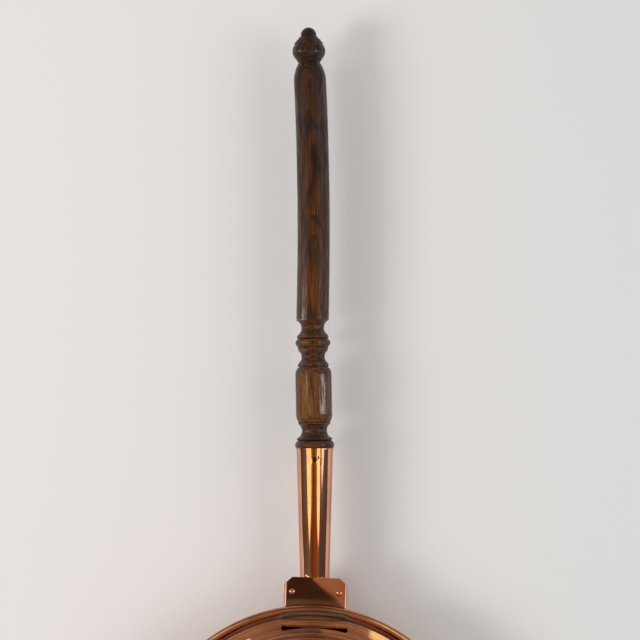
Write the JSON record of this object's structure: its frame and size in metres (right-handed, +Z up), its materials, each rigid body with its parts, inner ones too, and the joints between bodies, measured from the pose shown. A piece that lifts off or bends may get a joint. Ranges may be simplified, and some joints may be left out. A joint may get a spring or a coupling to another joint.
{
  "type": "bed warming pan",
  "caption": "Shallow round metal pan with a hinged, vented lid, a folded socket bracket, a tapered ferrule and a long turned wooden handle with a finial.",
  "frame": {"origin": "centre of the pan's flat base, on the surface that it stands on", "axes": "+Z up through the lid, +Y from the pan along the handle, +X to the right when looking from the pan to the handle"},
  "size_m": [0.3, 0.8173, 0.0665],
  "materials": {
    "copper": "polished copper sheet with age tone",
    "copper_rivet": "hammered copper",
    "steel": "plain drawn wire and rod",
    "iron": "blackened",
    "oak": "dark stained and varnished"
  },
  "bodies": {
    "pan": {"pan_body": "copper", "rim_wire": "steel", "hinge_strap": "copper", "wall_rivets": "copper_rivet", "wall_roves": "copper_rivet", "socket_bracket": "copper", "ferrule_saddle": "copper", "saddle_rivets": "copper_rivet", "ferrule": "copper", "ferrule_nail": "iron", "handle_baluster": "oak", "grip_stud": "steel", "handle_grip": "oak", "finial_stud": "steel", "handle_finial": "oak"},
    "lid": {"lid": "copper"}
  },
  "joints": [
    {"name": "lid_hinge", "type": "hinge", "parent": "pan", "child": "lid", "pos_m": [0, 0.1355, 0.05676], "axis": [-1, 0, 0], "range_deg": [0, 105]}
  ]
}
